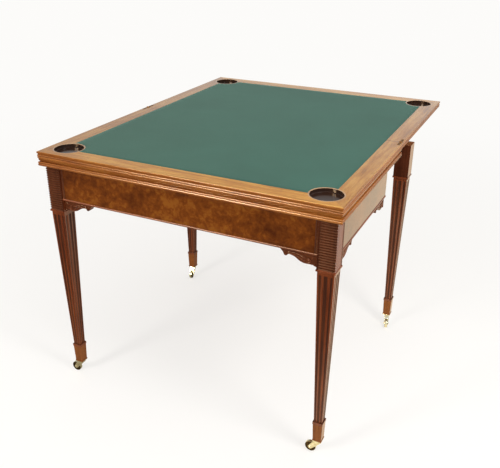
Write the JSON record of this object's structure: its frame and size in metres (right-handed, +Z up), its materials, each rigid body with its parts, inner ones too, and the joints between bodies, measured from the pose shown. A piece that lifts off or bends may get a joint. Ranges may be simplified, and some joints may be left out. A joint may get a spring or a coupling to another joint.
{
  "type": "folding games table",
  "caption": "Square games table with a fold-over baize-lined top, corner wells, a moulded edge, tapered fluted legs on brass casters and a pull-out rear frame.",
  "frame": {"origin": "on the floor under the middle of the open top, which is below the middle of the seam between the two leaves", "axes": "+X runs across the table along the seam, +Y from the fixed front half towards the folding rear half, +Z up"},
  "size_m": [0.88, 1.069, 0.7518],
  "materials": {
    "walnut": "polished",
    "burr_walnut": "polished, figured",
    "leg_walnut": "polished, stained darker",
    "frame_wood": "plain",
    "baize": "felted",
    "well_lining": "dark polish",
    "brass": "polished"
  },
  "bodies": {
    "carcass": {"fixed_leaf": "walnut", "front_cornice": "walnut", "left_cornice": "walnut", "right_cornice": "walnut", "front_cock_bead": "walnut", "left_cock_bead": "walnut", "right_cock_bead": "walnut", "front_bracket_left": "walnut", "front_bracket_right": "walnut", "left_bracket_front": "walnut", "left_bracket_rear": "walnut", "right_bracket_front": "walnut", "right_bracket_rear": "walnut", "front_burr_panel": "burr_walnut", "left_burr_panel": "burr_walnut", "right_burr_panel": "burr_walnut", "front_left_leg": "leg_walnut", "front_right_leg": "leg_walnut", "front_rail": "frame_wood", "left_side_rail": "frame_wood", "right_side_rail": "frame_wood", "inner_back_rail": "frame_wood", "glue_blocks": "frame_wood", "left_runner_guide": "frame_wood", "right_runner_guide": "frame_wood", "fixed_baize": "baize", "fixed_wells": "well_lining", "fixed_hinge_plates": "brass", "front_caster_plates": "brass"},
    "flap": {"flap_leaf": "walnut", "flap_baize": "baize", "flap_wells": "well_lining", "flap_hinge_plates": "brass"},
    "rear_frame": {"rear_left_leg": "leg_walnut", "rear_right_leg": "leg_walnut", "rear_rail": "frame_wood", "flap_bearer": "frame_wood", "left_runner": "frame_wood", "right_runner": "frame_wood", "runner_cross_rail": "frame_wood", "runner_stops": "frame_wood", "rear_caster_plates": "brass"},
    "front_left_caster": {"front_left_caster_horn": "brass"},
    "front_left_roller": {"front_left_wheel": "brass"},
    "front_right_caster": {"front_right_caster_horn": "brass"},
    "front_right_roller": {"front_right_wheel": "brass"},
    "rear_left_caster": {"rear_left_caster_horn": "brass"},
    "rear_left_roller": {"rear_left_wheel": "brass"},
    "rear_right_caster": {"rear_right_caster_horn": "brass"},
    "rear_right_roller": {"rear_right_wheel": "brass"}
  },
  "joints": [
    {"name": "flap_fold", "type": "hinge", "parent": "carcass", "child": "flap", "pos_m": [0, 0, 0.7492], "axis": [1, 0, 0], "range_deg": [0, 180]},
    {"name": "rear_frame_slide", "type": "slide", "parent": "carcass", "child": "rear_frame", "axis": [0, -1, 0], "range_m": [0, 0.2732]},
    {"name": "front_left_swivel", "type": "hinge", "parent": "carcass", "child": "front_left_caster", "pos_m": [-0.40275, -0.49725, 0.0415], "axis": [0, 0, 1], "continuous": true},
    {"name": "front_left_roll", "type": "hinge", "parent": "front_left_caster", "child": "front_left_roller", "pos_m": [-0.42275, -0.49725, 0.0155], "axis": [0, 1, 0], "continuous": true},
    {"name": "front_right_swivel", "type": "hinge", "parent": "carcass", "child": "front_right_caster", "pos_m": [0.40275, -0.49725, 0.0415], "axis": [0, 0, 1], "continuous": true},
    {"name": "front_right_roll", "type": "hinge", "parent": "front_right_caster", "child": "front_right_roller", "pos_m": [0.38275, -0.49725, 0.0155], "axis": [0, 1, 0], "continuous": true},
    {"name": "rear_left_swivel", "type": "hinge", "parent": "rear_frame", "child": "rear_left_caster", "pos_m": [-0.40275, 0.2095, 0.0415], "axis": [0, 0, 1], "continuous": true},
    {"name": "rear_left_roll", "type": "hinge", "parent": "rear_left_caster", "child": "rear_left_roller", "pos_m": [-0.39962, 0.18975, 0.0155], "axis": [-0.9877, -0.1564, 0], "continuous": true},
    {"name": "rear_right_swivel", "type": "hinge", "parent": "rear_frame", "child": "rear_right_caster", "pos_m": [0.40275, 0.2095, 0.0415], "axis": [0, 0, 1], "continuous": true},
    {"name": "rear_right_roll", "type": "hinge", "parent": "rear_right_caster", "child": "rear_right_roller", "pos_m": [0.40725, 0.19001, 0.0155], "axis": [-0.9744, -0.225, 0], "continuous": true}
  ]
}
